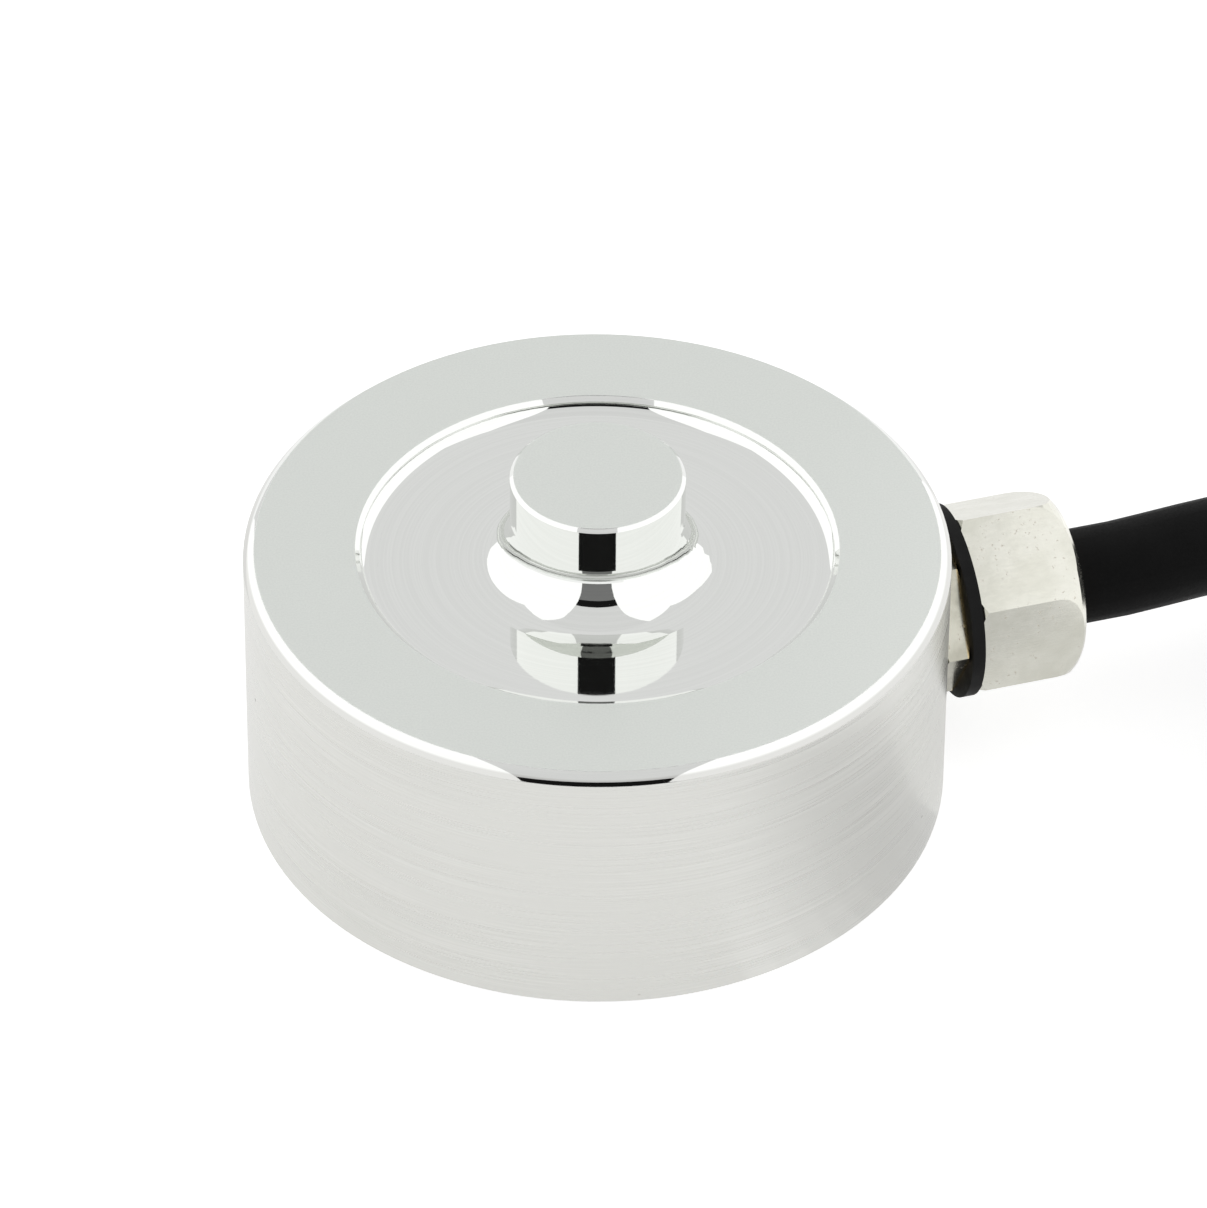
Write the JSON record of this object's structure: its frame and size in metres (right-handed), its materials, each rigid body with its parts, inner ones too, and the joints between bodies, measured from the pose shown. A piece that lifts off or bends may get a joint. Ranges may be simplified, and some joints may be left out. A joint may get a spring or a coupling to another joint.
{
  "type": "compression load cell",
  "caption": "Low round compression load cell with a raised load button on a grooved diaphragm, a hexagonal cable gland in its side and a coiled signal cable.",
  "frame": {"origin": "centre of the base face, which is also the centre of the circle of mounting holes", "axes": "+Z is the load axis, up out of the load button; the cable gland leaves 17 degrees from +X towards +Y"},
  "size_m": [0.1338, 0.0738, 0.0224],
  "materials": {
    "body_steel": "turned stainless steel, satin sides, finely ground top, polished groove, hub and chamfers",
    "cover_steel": "satin stainless sheet",
    "sealant": "cured sealant, dull",
    "board": "green glass-epoxy board",
    "pad_copper": "gold-plated copper pad",
    "resistor": "dark ceramic chip",
    "gauge_film": "amber polyimide film",
    "gauge_foil": "etched resistance foil",
    "solder": "tin, slightly dull",
    "bare_wire": "tinned copper",
    "wire_red": "red insulation",
    "wire_black": "black insulation",
    "wire_green": "green insulation",
    "wire_white": "white insulation",
    "gland_brass": "nickel-plated brass, slightly warm and lightly tarnished",
    "black_rubber": "black rubber",
    "nylon": "natural nylon",
    "crimp_metal": "plated crimp",
    "cable_jacket": "smooth black cable jacket, satin",
    "tie_plastic": "black tie",
    "shrink_sleeve": "black heat-shrink"
  },
  "bodies": {
    "root": {"body": "body_steel", "bottom_cover": "cover_steel", "cover_sealant": "sealant", "terminal_board": "board", "gauge_pads": "pad_copper", "cable_pads": "pad_copper", "zero_resistor": "resistor", "span_resistor": "resistor", "temperature_resistor": "resistor", "strain_gauge_1": "gauge_film", "strain_gauge_2": "gauge_film", "strain_gauge_3": "gauge_film", "strain_gauge_4": "gauge_film", "gauge_grid_1": "gauge_foil", "gauge_grid_2": "gauge_foil", "gauge_grid_3": "gauge_foil", "gauge_grid_4": "gauge_foil", "gauge_leads": "bare_wire", "solder_joints": "solder", "inner_wire_red": "wire_red", "inner_wire_black": "wire_black", "inner_wire_green": "wire_green", "inner_wire_white": "wire_white", "inner_shield_wire": "bare_wire", "gland_nipple": "gland_brass", "gland_washer": "black_rubber", "gland_nut": "gland_brass", "seal_sleeve": "black_rubber", "thrust_ring": "nylon", "crimp_ring": "crimp_metal", "cable_in_gland": "cable_jacket", "cable_lead": "cable_jacket", "cable_coil": "cable_jacket", "coil_tie_left": "tie_plastic", "coil_tie_right": "tie_plastic", "cable_tail": "cable_jacket", "end_sleeve": "shrink_sleeve", "core_red": "wire_red", "core_black": "wire_black", "core_green": "wire_green", "core_white": "wire_white", "core_tips": "solder", "drain_wire": "bare_wire"}
  },
  "joints": []
}
